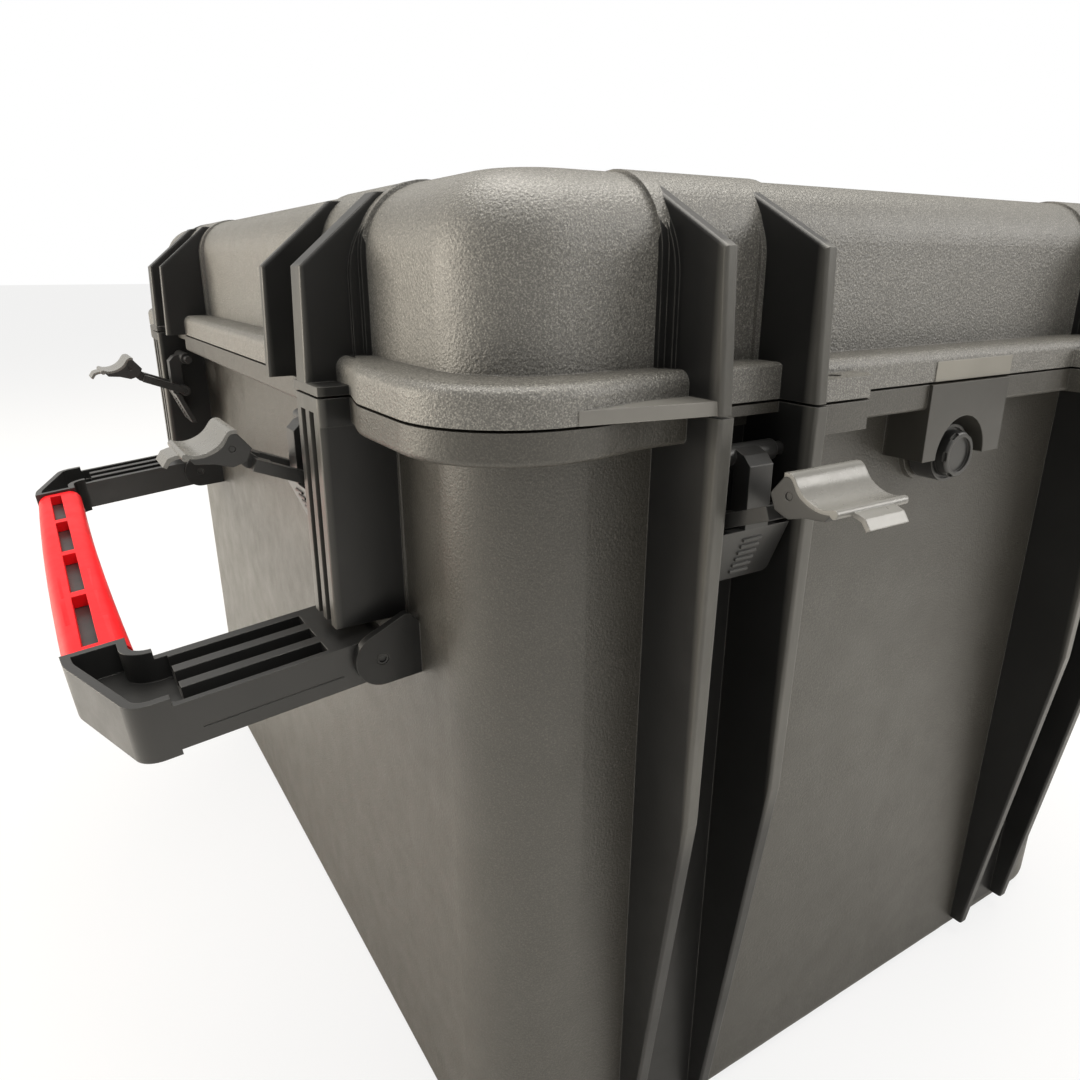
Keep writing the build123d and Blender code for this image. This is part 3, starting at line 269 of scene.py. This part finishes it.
def steel(name):
    """Ground steel of the hinge pins."""
    g = Graph(name)
    streaks = g.noise(220.0, 5.0, 0.7, stretch=(0.1, 0.1, 1.0))
    tone = g.ramp(streaks, [(0.3, (0.42, 0.42, 0.43)), (0.7, (0.6, 0.6, 0.61))])
    g.link(tone, g.shader.inputs["Base Color"])
    g.shader.inputs["Metallic"].default_value = 1.0
    g.link(g.span(streaks, 0.3, 0.7, 0.24, 0.42), g.shader.inputs["Roughness"])
    g.link(g.bump(streaks, 0.1, 0.0002), g.shader.inputs["Normal"])
    return g.material


# LID is paler than BASE though lid and base are one plastic: the difference is painted light for the lid
# catching more of the lamps
LID = (0.094, 0.091, 0.083)
BASE = (0.038, 0.0355, 0.030)
TRIM = (0.013, 0.013, 0.013)
PALE = (0.17, 0.165, 0.15)
lid_grain = grained("lid_grain", LID, 0.46, 0.8, 0.8, 0.95)
base_grain = grained("base_grain", BASE, 0.42, 0.4, 0.45, 0.7, smooth_box=(TAB_LOW, TAB_HIGH))
trim = satin("trim_smooth", TRIM, 0.34, PALE, 0.65, shine=0.33, lit_scuff_tone=(0.12, 0.117, 0.108))
bar_grey = satin("bar_grey", (0.16, 0.155, 0.143), 0.36, (0.36, 0.35, 0.32), 0.6, shine=0.8)
# a paler grey on the flange face above the valve: painted highlight
patch_painted_highlight = satin("patch_painted_highlight", (0.20, 0.19, 0.165), 0.4, (0.34, 0.32, 0.28), 0.3, shine=0.8)
fitting = satin("fitting_black", (0.02, 0.02, 0.02), 0.34, (0.14, 0.135, 0.125), 0.5, scratches=0.1)
hook_grey = satin("hook_grey", (0.13, 0.127, 0.118), 0.27, (0.42, 0.41, 0.38), 0.5,
                  shine=1.0, scratches=0.15)
grip_red = satin("grip_red", (0.86, 0.006, 0.012), 0.46, (0.88, 0.02, 0.025), 0.3,
                 shine=0.25, scratches=0.04)
seal_rubber = satin("seal_rubber", (0.02, 0.02, 0.02), 0.7, (0.04, 0.04, 0.04), 0.1)
pin_steel = steel("pin_steel")

SLOT_LOOKS = {"fitting": fitting, "hook_plate": hook_grey, "grip": grip_red, "seal": seal_rubber,
              "steel": pin_steel}
slot_of = {row["node"]: row["material_slot"] for row in frame["record"]["subparts"]}
for name, node in nodes.items():
    if slot_of[name] in SLOT_LOOKS:
        node.data.materials.clear()
        node.data.materials.append(SLOT_LOOKS[slot_of[name]])


# Grained and smooth faces of the two shells

def wall_place(point):
    """Wall that a point is nearest, its distance out and its distance past the bay towards the corner."""
    out_x = abs(point.x) - BODY_X / 2
    out_y = abs(point.y) - BODY_Y / 2
    if out_y > out_x:
        return ("front" if point.y < 0 else "back"), out_y, abs(point.x) - LATCH_X
    return "side", out_x, abs(point.y) - LATCH_Y


def between(value, low, high):
    return low - SLACK < value < high + SLACK


def bar_reach(along):
    """Out from the wall, the flange's edge beside the lip bar."""
    share = min(max((along - RAMP_NEAR) / (RAMP_FAR - RAMP_NEAR), 0.0), 1.0)
    return FLANGE_OUT + (CORNER_OUT - FLANGE_OUT) * share


def lid_finish(point):
    """Slot of a face of the lid: grained wall, smooth trim, lip bar or patch."""
    wall, out, along = wall_place(point)
    near_rib = -BAY_HALF - LID_RIB_T
    if wall == "side":
        ribs = between(along, near_rib, near_rib + LID_RIB_T)
        ribs = ribs or between(along, LID_COLUMN_NEAR, LID_COLUMN_FAR)
        bands = between(along, LID_COLUMN_FAR, LID_COLUMN_FAR + BAND_W)
        plate = between(along, BAY_HALF, COLUMN_FAR) and point.z < LID_BOTTOM_Z + COLUMN_PLATE_H
        return int((plate and out > FLANGE_OUT) or (ribs and out > RIB_ROOT)
                   or (bands and point.z > FLANGE_TOP_Z and out > BAND_OUT))
    if wall == "back" and abs(along) < BAY_HALF:
        return int(out > PROUD)
    far_rib = BAY_HALF + RIB_T - LID_RIB_T
    far_end = far_rib + LID_RIB_T
    ribs = between(along, near_rib, near_rib + LID_RIB_T) or between(along, far_rib, far_end)
    bands = between(along, far_end, far_end + BAND_W) and out > BAND_OUT
    bands = bands or (between(along, near_rib - BAND_W, near_rib) and out > PROUD)
    if wall == "front":
        if along > BAR_NEAR and point.z < LID_BOTTOM_Z + BAR_H + SLACK and out > bar_reach(along) + SLACK:
            return 2
        # the flange face above the valve takes the paler grey that is a painted highlight
        if abs(point.x) < PATCH_HALF and point.z < FLANGE_TOP_Z and out > FLANGE_OUT + SLACK:
            return 3
    return int((ribs and out > RIB_ROOT) or (bands and point.z > FLANGE_TOP_Z))


def base_finish(point):
    """Slot of a face of the base: grained wall, or smooth rib, column and ear, and the bay's wall, which is
    darker partly as painted shade.
    """
    wall, out, along = wall_place(point)
    if wall == "side":
        upper = point.z > BASE_FLANGE_Z - SLACK
        slabs = between(along, -BAY_HALF - RIB_T, -BAY_HALF) or between(along, BAY_HALF, COLUMN_FAR)
        ears = not upper and point.z > EAR_BOTTOM_Z and along < EAR_FAR
        return int((slabs or ears) and out > PROUD)
    ribs = between(abs(along), BAY_HALF, BAY_HALF + RIB_T) and out > BASE_RIB_ROOT
    # the wall in the bay between the ribs takes the darker trim: partly its smooth finish, partly painted
    # shade of the recess
    bay = abs(along) < BAY_HALF and point.z < BASE_FLANGE_Z
    return int(ribs or bay)


def dress_shell(name, looks, finish_of):
    """Gives a shell its materials and picks one for each face by where the face lies."""
    mesh = nodes[name].data
    mesh.materials.clear()
    for look in looks:
        mesh.materials.append(look)
    for face in mesh.polygons:
        face.material_index = finish_of(face.center)


dress_shell("lid_shell", [lid_grain, trim, bar_grey, patch_painted_highlight], lid_finish)
dress_shell("base_shell", [base_grain, trim], base_finish)


# Camera, floor and light

def set_camera():
    """Camera at the photograph's place and angle."""
    data = bpy.data.cameras.new("camera")
    data.lens = 27.45
    data.sensor_width = 36.0
    data.sensor_fit = "HORIZONTAL"
    data.clip_start = 0.01
    camera = bpy.data.objects.new("camera", data)
    scene.collection.objects.link(camera)
    forward = Vector((0.5003, 0.8069, -0.3140)).normalized()
    right = forward.cross(Vector((0, 0, 1))).normalized()
    up = right.cross(forward)
    turn = Matrix((right, up, -forward)).transposed().to_4x4()
    camera.matrix_world = Matrix.Translation((-0.4213, -0.6149, 0.50325)) @ turn
    scene.camera = camera


def pale_floor(name, color, seen_white):
    """Matt floor that keeps its shadows, and that the camera sees nearer to white by this share."""
    g = Graph(name)
    g.shader.inputs["Base Color"].default_value = (*color, 1.0)
    g.shader.inputs["Roughness"].default_value = 0.9
    g.shader.inputs["Specular IOR Level"].default_value = 0.1
    glow = g.add("ShaderNodeEmission")
    glow.inputs["Strength"].default_value = 1.0
    mix = g.add("ShaderNodeMixShader")
    camera_ray = g.add("ShaderNodeLightPath").outputs["Is Camera Ray"]
    g.link(g.math("MULTIPLY", camera_ray, seen_white), mix.inputs["Fac"])
    g.link(g.shader.outputs["BSDF"], mix.inputs[1])
    g.link(glow.outputs["Emission"], mix.inputs[2])
    output = next(node for node in g.tree.nodes if node.bl_idname == "ShaderNodeOutputMaterial")
    g.link(mix.outputs["Shader"], output.inputs["Surface"])
    return g.material


def make_floor():
    mesh = bpy.data.meshes.new("floor")
    bm = bmesh.new()
    bmesh.ops.create_grid(bm, x_segments=1, y_segments=1, size=30.0)
    bm.to_mesh(mesh)
    bm.free()
    floor = bpy.data.objects.new("floor", mesh)
    floor.location.z = -0.0005
    scene.collection.objects.link(floor)
    mesh.materials.append(pale_floor("floor_pale", (0.88, 0.87, 0.85), 0.8))


def area_light(name, place, target, size, power, color=(1, 1, 1)):
    data = bpy.data.lights.new(name, "AREA")
    data.shape = "RECTANGLE"
    data.size, data.size_y = size
    data.energy = power
    data.color = color
    lamp = bpy.data.objects.new(name, data)
    scene.collection.objects.link(lamp)
    lamp.location = place
    lamp.rotation_euler = (Vector(target) - Vector(place)).to_track_quat("-Z", "Y").to_euler()


def set_world():
    """White seen by the camera, dimmer white in reflections and dimmer still as light."""
    world = bpy.data.worlds.new("studio")
    scene.world = world
    world.use_nodes = True
    tree = world.node_tree
    tree.nodes.clear()
    output = tree.nodes.new("ShaderNodeOutputWorld")
    seen = tree.nodes.new("ShaderNodeBackground")
    seen.inputs["Color"].default_value = (1, 1, 1, 1)
    seen.inputs["Strength"].default_value = 1.0
    mirrored = tree.nodes.new("ShaderNodeBackground")
    mirrored.inputs["Color"].default_value = (1.0, 0.98, 0.94, 1)
    mirrored.inputs["Strength"].default_value = 0.72
    lit = tree.nodes.new("ShaderNodeBackground")
    lit.inputs["Color"].default_value = (1.0, 0.98, 0.94, 1)
    lit.inputs["Strength"].default_value = 0.45
    path = tree.nodes.new("ShaderNodeLightPath")
    light = tree.nodes.new("ShaderNodeMixShader")
    tree.links.new(path.outputs["Is Glossy Ray"], light.inputs["Fac"])
    tree.links.new(lit.outputs["Background"], light.inputs[1])
    tree.links.new(mirrored.outputs["Background"], light.inputs[2])
    mix = tree.nodes.new("ShaderNodeMixShader")
    tree.links.new(path.outputs["Is Camera Ray"], mix.inputs["Fac"])
    tree.links.new(light.outputs["Shader"], mix.inputs[1])
    tree.links.new(seen.outputs["Background"], mix.inputs[2])
    tree.links.new(mix.outputs["Shader"], output.inputs["Surface"])


scene.view_settings.view_transform = "Standard"
set_camera()
make_floor()
set_world()
area_light("overhead", (0.1, 0.1, 2.6), (0, 0, 0.4), (2.4, 2.4), 98.0, (1.0, 0.96, 0.88))
area_light("right_front", (2.3, -2.3, 1.7), (0, 0, 0.3), (1.8, 1.6), 46.0, (1.0, 0.97, 0.92))
area_light("left_back", (-2.6, 1.5, 0.7), (-0.2, 0, 0.2), (2.0, 1.2), 62.0, (1.0, 0.91, 0.76))

bpy.context.view_layer.update()
